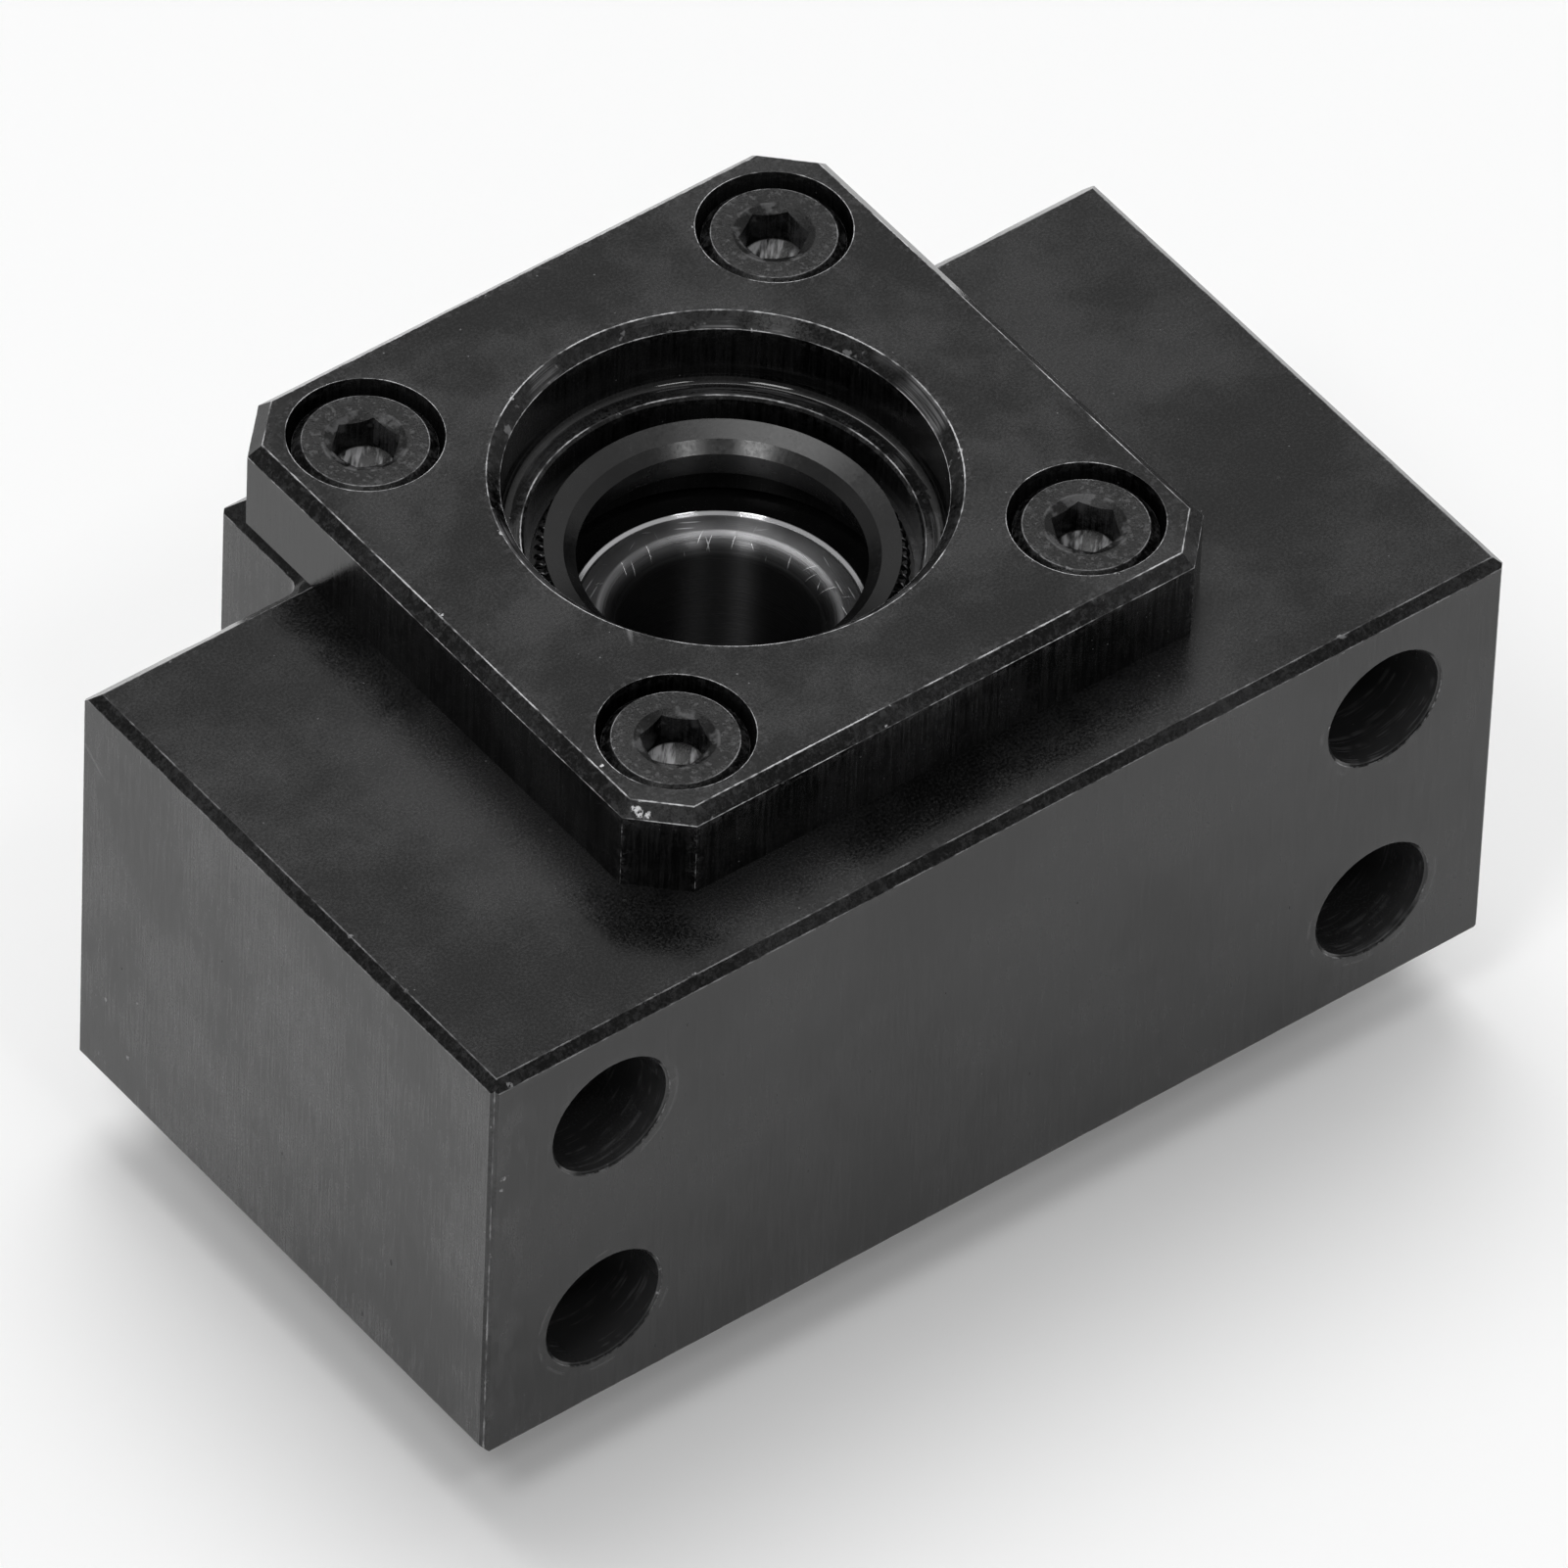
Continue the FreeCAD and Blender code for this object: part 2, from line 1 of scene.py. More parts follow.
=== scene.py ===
import math
import bpy
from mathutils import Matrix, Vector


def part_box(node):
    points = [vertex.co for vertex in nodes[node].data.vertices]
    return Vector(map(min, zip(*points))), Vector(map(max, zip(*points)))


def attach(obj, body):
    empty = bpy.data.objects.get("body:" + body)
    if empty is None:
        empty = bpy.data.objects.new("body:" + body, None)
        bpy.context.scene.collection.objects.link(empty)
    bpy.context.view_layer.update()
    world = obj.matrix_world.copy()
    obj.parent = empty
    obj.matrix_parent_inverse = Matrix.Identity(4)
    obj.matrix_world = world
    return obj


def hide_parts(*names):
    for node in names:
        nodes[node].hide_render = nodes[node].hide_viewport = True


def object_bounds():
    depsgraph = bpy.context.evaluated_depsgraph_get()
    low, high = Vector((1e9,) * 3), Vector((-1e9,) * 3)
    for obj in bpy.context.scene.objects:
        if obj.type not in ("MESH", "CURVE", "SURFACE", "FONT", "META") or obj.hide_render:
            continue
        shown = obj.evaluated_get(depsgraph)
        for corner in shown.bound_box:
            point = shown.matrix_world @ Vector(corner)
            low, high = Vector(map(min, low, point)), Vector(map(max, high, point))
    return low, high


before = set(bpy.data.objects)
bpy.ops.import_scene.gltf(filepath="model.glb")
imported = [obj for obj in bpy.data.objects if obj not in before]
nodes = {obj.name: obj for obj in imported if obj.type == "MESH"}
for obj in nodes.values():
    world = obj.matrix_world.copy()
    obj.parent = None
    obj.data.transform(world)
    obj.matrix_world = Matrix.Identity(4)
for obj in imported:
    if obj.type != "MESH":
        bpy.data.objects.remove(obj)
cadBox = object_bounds()
print("frame loaded:", len(nodes), "CAD nodes")

# Square end support for a ball screw in black oxide steel, standing on its rear collar.
# The frame is in metres. Lengths in the finishes are in millimetres, as on the drawing.
perMetre = 1000.0
# blue over red and green in every grey, for the cool tone of steel
coolTint = 1.02

scene = bpy.context.scene
scene.view_settings.view_transform = "Standard"


class Field:
    # a value that changes over the surface, used in sums like a plain number

    def __init__(self, tree, socket):
        self.tree = tree
        self.socket = socket

    def math(self, operation, *others):
        node = self.tree.nodes.new("ShaderNodeMath")
        node.operation = operation
        for index, value in enumerate((self, *others)):
            feed(self.tree, value, node.inputs[index])
        return Field(self.tree, node.outputs[0])

    def __add__(self, other):
        return self.math("ADD", other)

    def __sub__(self, other):
        return self.math("SUBTRACT", other)

    def __mul__(self, other):
        return self.math("MULTIPLY", other)

    def __truediv__(self, other):
        return self.math("DIVIDE", other)

    def __abs__(self):
        return self.math("ABSOLUTE")

    def upTo(self, other):
        return self.math("MINIMUM", other)

    def atLeast(self, other):
        return self.math("MAXIMUM", other)

    def ramp(self, low, high, start=0.0, end=1.0):
        # smooth step from start at low to end at high
        node = self.tree.nodes.new("ShaderNodeMapRange")
        node.interpolation_type = "SMOOTHSTEP"
        for index, value in enumerate((self, low, high, start, end)):
            feed(self.tree, value, node.inputs[index])
        return Field(self.tree, node.outputs[0])


def feed(tree, value, socket):
    if isinstance(value, Field):
        tree.links.new(value.socket, socket)
    elif isinstance(value, bpy.types.NodeSocket):
        tree.links.new(value, socket)
    else:
        socket.default_value = value


def addNode(tree, kind, output, inputs, **settings):
    node = tree.nodes.new(kind)
    for key, value in settings.items():
        setattr(node, key, value)
    for key, value in inputs.items():
        feed(tree, value, node.inputs[key])
    return Field(tree, node.outputs[output])


def vector(tree, x, y, z):
    return addNode(tree, "ShaderNodeCombineXYZ", 0, {0: x, 1: y, 2: z})


def parts(field):
    node = field.tree.nodes.new("ShaderNodeSeparateXYZ")
    feed(field.tree, field, node.inputs[0])
    return [Field(field.tree, output) for output in node.outputs]


def reach(a, b):
    # length of the line from (0, 0) to (a, b)
    line = vector(a.tree, a, b, 0.0)
    return addNode(a.tree, "ShaderNodeVectorMath", "Value", {0: line}, operation="LENGTH")


def nearest(fields):
    result = fields[0]
    for field in fields[1:]:
        result = result.upTo(field)
    return result


def stretch(field, scale, turn=(0.0, 0.0, 0.0)):
    # the point turned by degrees, then scaled, to give a pattern its direction
    tree = field.tree
    angles = [math.radians(angle) for angle in turn]
    turned = addNode(tree, "ShaderNodeMapping", 0, {"Vector": field, "Rotation": angles})
    return addNode(tree, "ShaderNodeVectorMath", 0, {0: turned, 1: scale}, operation="MULTIPLY")


def noise(field, scale, detail=2.0, roughness=0.5):
    inputs = {"Vector": field, "Scale": scale, "Detail": detail, "Roughness": roughness}
    return addNode(field.tree, "ShaderNodeTexNoise", "Fac", inputs)


def mask(field, look):
    # look holds a noise's scale, detail and roughness, then the two ends of a smooth step
    grain, step = look
    return noise(field, *grain).ramp(*step)


def lerp(factor, start, end):
    return addNode(factor.tree, "ShaderNodeMix", "Result", {"Factor": factor, "A": start, "B": end})


def shade(value):
    return (value, value, value * coolTint, 1.0)


def blendColor(factor, start, end):
    node = factor.tree.nodes.new("ShaderNodeMix")
    node.data_type = "RGBA"
    # of its many sockets 6 and 7 are the two colours
    for index, value in ((0, factor), (6, start), (7, end)):
        feed(factor.tree, shade(value) if isinstance(value, float) else value, node.inputs[index])
    return Field(factor.tree, node.outputs[2])


# effects that several finishes share

def newEffect(name, inputs, outputs, build):
    group = bpy.data.node_groups.new(name, "ShaderNodeTree")
    for label, (kind, value) in inputs.items():
        socket = group.interface.new_socket(label, in_out="INPUT", socket_type=f"NodeSocket{kind}")
        socket.default_value = value
    for label in outputs:
        group.interface.new_socket(label, in_out="OUTPUT", socket_type="NodeSocketFloat")
    source = group.nodes.new("NodeGroupInput")
    sink = group.nodes.new("NodeGroupOutput")
    results = build(*[Field(group, source.outputs[label]) for label in inputs])
    for label, result in zip(outputs, results):
        feed(group, result, sink.inputs[label])
    return group


def place(tree, effect, **values):
    node = tree.nodes.new("ShaderNodeGroup")
    node.node_tree = effect
    for label, value in values.items():
        feed(tree, value, node.inputs[label])
    results = [Field(tree, output) for output in node.outputs]
    return results[0] if len(results) == 1 else results


point = ("Vector", (0.0, 0.0, 0.0))

# lengths are shares of the wear's width, and gapScale is a share of the flakes' scale
wearShape = {
    "rag": (4.2, 3.0, 0.65), "ragDepth": 1.8, "lineCore": 0.35,
    "gapScale": 0.3, "gapGrain": (3.0, 0.7), "gapBelow": 0.06, "gapAbove": 0.16, "gapLeft": 0.06,
    "chipGrain": (3.0, 0.6), "chipStep": (0.65, 0.7), "chipNear": 1.5, "chipFar": 4.0,
    "chipGroups": ((0.21, 2.0), (0.5, 0.6)), "rubbedReach": 15.0,
}


def buildEdgeWear(spot, distance, width, breaks, flakes):
    # oxide rubbed through along an edge: a thin line that comes and goes, with small chips beside it
    shape = wearShape
    ragged = distance + (noise(spot, *shape["rag"]) - 0.5) * width * shape["ragDepth"]
    line = ragged.ramp(width * shape["lineCore"], width, 1.0, 0.0)
    gaps = noise(spot, flakes * shape["gapScale"], *shape["gapGrain"]).ramp(
        breaks - shape["gapBelow"], breaks + shape["gapAbove"], shape["gapLeft"], 1.0,
    )
    near = distance.ramp(width * shape["chipNear"], width * shape["chipFar"], 1.0, 0.0)
    chips = noise(spot, flakes, *shape["chipGrain"]).ramp(*shape["chipStep"]) * near
    chips = chips * mask(spot, shape["chipGroups"])
    return (line * gaps).atLeast(chips), distance.ramp(0.0, width * shape["rubbedReach"], 1.0, 0.0)


edgeWear = newEffect("edgeWear", {
    "Vector": point, "Distance": ("Float", 1.0), "Width": ("Float", 0.1),
    "Breaks": ("Float", 0.45), "Flakes": ("Float", 2.0),
}, ("Wear", "Rubbed"), buildEdgeWear)

machinedShape = {
    "lineStretch": (7.0, 7.0, 0.3), "lines": (1.0, 3.0, 0.7), "lineShare": 0.6, "lineStep": (0.34, 0.66),
    "matte": (7.0, 3.0, 0.8), "matteStep": (0.3, 0.7), "cloudGrain": (4.0, 0.62), "cloudStep": (0.3, 0.7),
}


def buildMachined(spot, along, clouds):
    # ground and blackened face: fine lines along the axis on the sides, cloudy oxide
    shape = machinedShape
    lines = noise(stretch(spot, shape["lineStretch"]), *shape["lines"])
    matte = noise(spot, *shape["matte"])
    brushed = lines * shape["lineShare"] + matte * (1.0 - shape["lineShare"])
    grain = lerp(along, matte.ramp(*shape["matteStep"]), brushed.ramp(*shape["lineStep"]))
    return grain, noise(spot, clouds, *shape["cloudGrain"]).ramp(*shape["cloudStep"])


machined = newEffect("machinedFace", {
    "Vector": point, "Along": ("Float", 0.5), "Clouds": ("Float", 0.12),
}, ("Texture", "Cloud"), buildMachined)

speckShape = {"smallest": 0.4, "core": 0.5, "shareStep": 0.02}


def buildSpecks(spot, scale, size, share):
    # small specks, each of its own size
    shape = speckShape
    cells = spot.tree.nodes.new("ShaderNodeTexVoronoi")
    feed(spot.tree, spot, cells.inputs["Vector"])
    feed(spot.tree, scale, cells.inputs["Scale"])
    chance, amount, _ = parts(Field(spot.tree, cells.outputs["Color"]))
    limit = size * amount.ramp(0.0, 1.0, shape["smallest"], 1.0)
    dot = Field(spot.tree, cells.outputs["Distance"]).ramp(limit * shape["core"], limit, 1.0, 0.0)
    return [dot * chance.ramp(share, share + shape["shareStep"], 1.0, 0.0)]


specks = newEffect("specks", {
    "Vector": point, "Scale": ("Float", 1.0), "Size": ("Float", 0.1), "Share": ("Float", 0.3),
}, ("Specks",), buildSpecks)

marksShape = {"lines": (1.0, 3.0, 0.65), "drift": (0.8, 2.0), "driftShare": 0.2}


def buildTurned(radius, height, fineness, spot):
    # tool marks that run round the axis
    shape = marksShape
    ring = vector(radius.tree, radius * fineness, height * fineness, 0.0)
    lines = noise(ring, *shape["lines"])
    drift = noise(spot, *shape["drift"])
    return [lines * (1.0 - shape["driftShare"]) + drift * shape["driftShare"]]


turnedMarks = newEffect("turnedMarks", {
    "Radius": ("Float", 1.0), "Height": ("Float", 0.0), "Fineness": ("Float", 6.0), "Vector": point,
}, ("Marks",), buildTurned)


def newFinish(name):
    # spot is the point on the piece in millimetres
    material = bpy.data.materials.new(name)
    material.use_nodes = True
    tree = material.node_tree
    tree.nodes.clear()
    shader = tree.nodes.new("ShaderNodeBsdfPrincipled")
    output = tree.nodes.new("ShaderNodeOutputMaterial")
    tree.links.new(shader.outputs[0], output.inputs[0])
    spot = addNode(tree, "ShaderNodeVectorMath", 0, {
        0: addNode(tree, "ShaderNodeTexCoord", "Object", {}), "Scale": perMetre,
    }, operation="SCALE")
    return material, shader, spot


def finishShader(shader, values, height, strength, depth):
    # links the values and gives the surface its relief, depth in millimetres
    tree = shader.id_data
    for key, value in values.items():
        feed(tree, value, shader.inputs[key])
    bump = addNode(tree, "ShaderNodeBump", 0, {
        "Height": height, "Strength": strength, "Distance": depth / perMetre,
    })
    feed(tree, bump, shader.inputs["Normal"])


hairStretch = (1.0, 0.07, 0.07)


def hairScratches(tree, spot, look):
    # short light scratches that lie several ways
    result = None
    for turn in look["hairTurns"]:
        hairs = place(tree, specks, Vector=stretch(spot, hairStretch, turn), Scale=look["hairScale"],
                      Size=look["hairWidth"], Share=look["hairShare"])
        result = hairs if result is None else result.atLeast(hairs)
    return result


# black oxide of the housing, the lid and its screws

oxideLook = {
    # base colours, and how metallic the worn places are
    "dark": 0.0005, "light": 0.016, "sideLight": 0.018, "endPaintedSheen": 0.06, "worn": 0.2,
    "bored": 0.03, "marked": 0.08, "bare": 0.24, "wearMetal": 0.4, "ior": 1.45,
    # faces that run along the axis, faces at the two ends, which are painted lighter as a painted sheen, and
    # the mix of cloud and grain
    "alongStep": (0.3, 0.8), "endStep": (0.6, 0.9), "clouds": 0.1, "mottleStep": (0.15, 0.85),
    "rough": 0.2, "roughSpread": 0.05, "roughGrain": 0.12, "rubbed": 0.03, "markRough": 0.15, "pitRough": 0.4,
    "smoothGrain": 0.15,
    "wearWidth": 0.05, "wearBreaks": 0.46, "wearFlakes": 1.5, "wornPatches": ((2.6, 3.0, 0.7), (0.48, 0.62)),
    "knocks": [], "knockRag": (3.0, 3.0, 0.7), "knockDepth": 2.6, "knockStep": (0.4, 0.6),
    "knockFlakes": ((7.0, 3.0), (0.42, 0.54)),
    "speckScale": 1.3, "speckSize": 0.08, "speckShare": 0.3,
    "pitScale": 0.9, "pitSize": 0.11, "pitShare": 0.2, "pitStretch": (1.0, 1.0, 0.45),
    "hairTurns": [(20.0, 35.0, 40.0), (70.0, 10.0, 65.0)],
    "hairScale": 0.3, "hairWidth": 0.05, "hairShare": 0.14,
    "bump": 0.06, "depth": 0.02,
}


def addKnocks(tree, spot, look, wear):
    # oxide knocked off in a few places, each with its own centre and size
    ragged = (noise(spot, *look["knockRag"]) - 0.5) * look["knockDepth"]
    flaked = mask(spot, look["knockFlakes"])
    core, rim = look["knockStep"]
    for *centre, size in look["knocks"]:
        gap = addNode(tree, "ShaderNodeVectorMath", "Value", {0: spot, 1: centre}, operation="DISTANCE")
        knock = (gap + ragged * size).ramp(size * core, size * rim, 1.0, 0.0)
        wear = wear.atLeast(knock * flaked)
    return wear


def blackOxide(name, look, distance, bared):
    # distance gives how far the nearest worn edge is, and bared gives three masks: cut surfaces with
    # a tone of their own, light lines, and a smooth skin or None
    material, shader, spot = newFinish(name)
    tree = material.node_tree
    x, y, z = parts(spot)
    r = reach(x, y)
    # along is 1 on faces that run along the axis, 0 on faces square to it, and end is 1 on the two ends,
    # which get a lighter tone as painted sheen
    facing = parts(addNode(tree, "ShaderNodeTexCoord", "Normal", {}))
    along = abs(facing[2]).ramp(*look["alongStep"], 1.0, 0.0)
    end = abs(facing[0]).ramp(*look["endStep"])
    texture, cloud = place(tree, machined, Vector=spot, Along=along, Clouds=look["clouds"])
    wear, rubbed = place(
        tree, edgeWear, Vector=spot, Distance=distance(x, y, z, r), Width=look["wearWidth"],
        Breaks=look["wearBreaks"], Flakes=look["wearFlakes"],
    )
    wear = addKnocks(tree, spot, look, wear)
    dots = place(tree, specks, Vector=spot, Scale=look["speckScale"], Size=look["speckSize"],
                 Share=look["speckShare"])
    pits = place(tree, specks, Vector=stretch(spot, look["pitStretch"]), Scale=look["pitScale"],
                 Size=look["pitSize"], Share=look["pitShare"])
    marks = dots.atLeast(hairScratches(tree, spot, look))
    bare, lines, smooth = bared(x, y, z, r, spot)
    mottle = (cloud * 0.5 + texture * 0.5).ramp(*look["mottleStep"])
    worn = rubbed * mask(spot, look["wornPatches"]) * look["worn"]
    # on the two ends a lighter tone stands in for the light they catch: painted sheen
    sides = blendColor(mottle, look["dark"], blendColor(end, look["sideLight"], look["endPaintedSheen"]))
    tone = blendColor(along, blendColor(mottle, look["dark"], look["light"]), sides)
    tone = blendColor(bare, tone, look["bored"])
    tone = blendColor(marks.atLeast(lines).atLeast(worn), tone, look["marked"])
    tone = blendColor(wear, tone, look["bare"])
    rough = cloud.ramp(0.0, 1.0, look["rough"] - look["roughSpread"], look["rough"] + look["roughSpread"])
    rough = rough + (texture - 0.5) * look["roughGrain"] + marks * look["markRough"]
    rough = rough + pits * look["pitRough"] - rubbed * look["rubbed"]
    grain = texture
    if smooth is not None:
        rough = lerp(smooth, rough, look["smooth"])
        grain = grain * lerp(smooth, 1.0, look["smoothGrain"])
    metallic = wear * look["wearMetal"]
    finishShader(
        shader, {"Base Color": tone, "Roughness": rough, "Metallic": metallic, "IOR": look["ior"]},
        grain, look["bump"], look["depth"],
    )
    return material


def give(name, material):
    mesh = nodes[name].data
    mesh.materials.clear()
    mesh.materials.append(material)


# housing

housingLook = dict(
    oxideLook,
    knocks=[
        (-29.2, -22.0, 18.6, 0.3), (-29.4, -22.0, 17.9, 0.2), (-29.0, -21.9, 24.6, 0.3),
        (-30.0, 8.6, 1.7, 0.15), (-30.0, 6.3, 3.3, 0.2), (-30.0, 8.1, 5.8, 0.15), (-30.0, 5.6, 7.6, 0.12),
    ],
    # the block
    halfWidth=30.0, foot=-22.0, flange=10.4, halfStep=17.1, top=16.9, front=25.0, overFlange=1.1,
    baseChamfer=0.5, topChamfer=1.0, endChamfer=0.65, rearChamfer=0.25, cornerChamfer=0.15,
    # mounting holes: the walls, the drill's marks that wind down them, and each hole's own share of x
    holeAcross=23.0, holeMiddle=12.5, holeUp=6.5, holeRim=3.4, wallStep=(3.34, 3.36),
    windDown=4.5, windRound=1.1, windLong=0.7, windHole=0.02,
    drillMarks=((1.0, 3.0, 0.6), (0.52, 0.66)), drillPatches=((0.9, 2.0), (0.36, 0.6)),
    # a washer's trace and nicks round them, on the mounting face only
    faceStep=(-21.9, -21.8), traceRadius=3.85, traceStep=(0.04, 0.12), traceTone=0.35,
    tracePatches=((0.35, 3.0), (0.5, 0.6)), nickRadius=3.7, nickStep=(0.1, 0.3),
    nickRound=4.0, nickOut=0.3, nickHole=0.1, nicks=((1.0, 2.0), (0.6, 0.66)),
    # stains on that face towards its left end
    stainStretch=(1.0, 1.0, 0.4), stain=((1.1, 4.0, 0.7), (0.46, 0.62)),
    stainStep=(-29.6, -26.0), stainTone=0.22,
)


def holeOffset(x, z):
    # across and up from the axis of the nearest mounting hole
    look = housingLook
    return abs(x) - look["holeAcross"], abs(z - look["holeMiddle"]) - look["holeUp"]


def housingEdges(x, y, z, r):
    look = housingLook
    side = abs(x) - look["halfWidth"]
    foot = (y - look["foot"]) * -1.0
    flange = y - look["flange"]
    step = abs(x) - look["halfStep"]
    top = y - look["top"]
    front = z - look["front"]
    above = flange * -1.0 - look["overFlange"]  # the step's own edges stop above the flange
    hole = reach(*holeOffset(x, z))
    base, upper, end, rear, corner = (
        look[f"{name}Chamfer"] for name in ("base", "top", "end", "rear", "corner")
    )
    return nearest([reach(*line) for line in (
        (foot + base, front), (foot, front + base), (side + base, front), (side, front + base),
        (flange + upper, front), (flange, front + upper), (top + upper, front), (top, front + upper),
        (foot, z - rear), (side, z - end), (side + end, z), (top, z - rear), (flange, z - rear),
        (side + corner, foot + corner), (side + corner, flange + corner), (step + corner, top + corner),
        (hole - look["holeRim"], foot),
    )] + [reach(step + upper, front).atLeast(above), reach(step, front + upper).atLeast(above)])


def housingBare(x, y, z, r, spot):
    look = housingLook
    across, up = holeOffset(x, z)
    hole = reach(across, up)
    wall = hole.ramp(*look["wallStep"], 1.0, 0.0)
    face = y.ramp(*look["faceStep"], 1.0, 0.0)
    turn = up.math("ARCTAN2", across)
    wound = vector(
        x.tree, y * look["windDown"] + turn * look["windRound"],
        turn * look["windLong"], x * look["windHole"],
    )
    marks = mask(wound, look["drillMarks"]) * mask(spot, look["drillPatches"])
    trace = abs(hole - look["traceRadius"]).ramp(*look["traceStep"], 1.0, 0.0) * face
    nicked = vector(x.tree, turn * look["nickRound"], hole * look["nickOut"], x * look["nickHole"])
    nicks = mask(nicked, look["nicks"])
    nicks = nicks * abs(hole - look["nickRadius"]).ramp(*look["nickStep"], 1.0, 0.0)
    trace = trace.atLeast(nicks) * mask(spot, look["tracePatches"]) * face
    stain = mask(stretch(spot, look["stainStretch"]), look["stain"]) * x.ramp(*look["stainStep"], 1.0, 0.0)
    stain = stain * face
    return wall, (wall * marks).atLeast(trace * look["traceTone"]).atLeast(stain * look["stainTone"]), None


give("housing", blackOxide("housingBlackOxide", housingLook, housingEdges, housingBare))

# lid

lidLook = dict(
    oxideLook, clouds=0.16, wearBreaks=0.45, sideLight=0.014, endPaintedSheen=0.014,
    # bare is light and wearMetal low, so the lid's worn edges and knocks show as bare steel with a painted
    # glint on it
    bare=0.62, wearMetal=0.1, marked=0.13, speckShare=0.5, smooth=0.07,
    knocks=[
        (-16.5, -15.0, 29.7, 0.5), (-16.2, -15.3, 29.5, 0.3),
        (-16.45, 0.45, 30.0, 0.2), (-16.3, -11.9, 30.0, 0.16),
    ],
    # the plate: half its side, the cut corners by the sum of x and y, chamfers
    half=17.2, cut=31.9, cutSlope=0.7071, cutStart=14.7, top=30.0, chamfer=0.65,
    screwAt=12.15, screwMouth=3.8, recess=10.65, recessMouth=11.3, seat=9.6, seatTop=26.0,
    # distance added at edges that are less worn
    cornerFaint=0.034, outlineFaint=0.012, mouthFaint=0.01,
    # rubbed patches, fine grain and nicks on the chamfer of the recess and on the ledge at its foot
    mouthRadius=10.97, mouthStep=(0.3, 0.4), mouthHeight=(29.2, 29.4),
    ledgeRadius=10.0, ledgeStep=(0.35, 0.5), ledgeHeight=(26.3, 26.4), ledgeTone=0.35,
    patches=((0.24, 2.0), (0.5, 0.62)),
    grainOut=7.0, grainRound=1.5, fineGrain=((1.0, 3.0, 0.7), (0.44, 0.6)),
    nickRound=9.0, nickOut=0.8, nicks=((1.0, 3.0, 0.7), (0.62, 0.68)),
    smoothRadius=(11.36, 11.4), smoothHeight=26.4, smoothStep=(0.5, 0.6),
)


def screwAxis(x, y):
    # distance from the axis of the nearest lid screw
    return reach(abs(x) - lidLook["screwAt"], abs(y) - lidLook["screwAt"])


def lidEdges(x, y, z, r):
    look = lidLook
    across = abs(x)
    up = abs(y)
    half, cut = look["half"], look["cutStart"]
    slant = (across + up - look["cut"]) * look["cutSlope"]
    outline = (across - half).atLeast(up - half).atLeast(slant)
    top = z - look["top"]
    below = top + look["chamfer"]
    return nearest([
        reach(across - half, up - cut) + look["cornerFaint"],
        reach(across - cut, up - half) + look["cornerFaint"],
        reach(outline, below) + look["outlineFaint"],
        reach(screwAxis(x, y) - look["screwMouth"], top) + look["mouthFaint"],
        reach(r - look["recess"], below) + look["mouthFaint"],
        reach(outline + look["chamfer"], top),
        reach(r - look["recessMouth"], top),
        reach(r - look["seat"], z - look["seatTop"]),
    ])


def lidBare(x, y, z, r, spot):
    look = lidLook
    mouth = abs(r - look["mouthRadius"]).ramp(*look["mouthStep"], 1.0, 0.0) * z.ramp(*look["mouthHeight"])
    ledge = abs(r - look["ledgeRadius"]).ramp(*look["ledgeStep"], 1.0, 0.0)
    ledge = ledge * z.ramp(*look["ledgeHeight"], 1.0, 0.0)
    patches = mask(spot, look["patches"])
    turn = y.math("ARCTAN2", x)
    ringed = vector(x.tree, r * look["grainOut"], z * look["grainOut"], turn * look["grainRound"])
    grain = mask(ringed, look["fineGrain"])
    nicked = vector(x.tree, turn * look["nickRound"], r * look["nickOut"], z * look["nickOut"])
    nicks = mask(nicked, look["nicks"])
    smooth = r.ramp(*look["smoothRadius"], 1.0, 0.0)
    smooth = smooth * abs(z - look["smoothHeight"]).ramp(*look["smoothStep"], 1.0, 0.0)
    lines = (ledge * grain * patches * look["ledgeTone"]).atLeast(mouth * (grain * patches).atLeast(nicks))
    return mouth * patches, lines, smooth


give("lid", blackOxide("lidBlackOxide", lidLook, lidEdges, lidBare))

# lid screws

screwLook = dict(
    oxideLook, dark=0.0, light=0.007, bored=0.28, marked=0.12, ior=1.36, clouds=0.5, rough=0.26,
    wearWidth=0.045, wearBreaks=0.42, wearFlakes=2.2, speckScale=2.0, speckSize=0.07,
    hairScale=1.2, hairWidth=0.06, hairShare=0.25, bump=0.3,
    # the head's flat, its rounded shoulder, and the distance added at that one
    flat=3.05, top=29.6, shoulder=3.5, shoulderTop=29.15, shoulderFaint=0.02,
    # a rubbed streak across each socket's floor
    floorRadius=(1.4, 1.5), floorHeight=(27.9, 28.1), streakAcross=1.6, streakLong=0.3,
    streaks=((1.0, 3.0, 0.6), (0.42, 0.6)),
    # the forging's rough skin on the heads, and rubbed places round the sockets' mouths
    skin=((3.4, 4.0, 0.7), (0.53, 0.64)), skinRadius=2.6, skinStep=(0.4, 0.55), skinTone=0.4,
    mouth=((0.9, 3.0, 0.6), (0.48, 0.6)), mouthRadius=1.85, mouthStep=(0.2, 0.3), mouthTone=0.5,
    headHeight=(28.8, 29.0),
)


def screwEdges(x, y, z, r):
    look = screwLook
    axis = screwAxis(x, y)
    shoulder = reach(axis - look["shoulder"], z - look["shoulderTop"]) + look["shoulderFaint"]
    return nearest([reach(axis - look["flat"], z - look["top"]), shoulder])


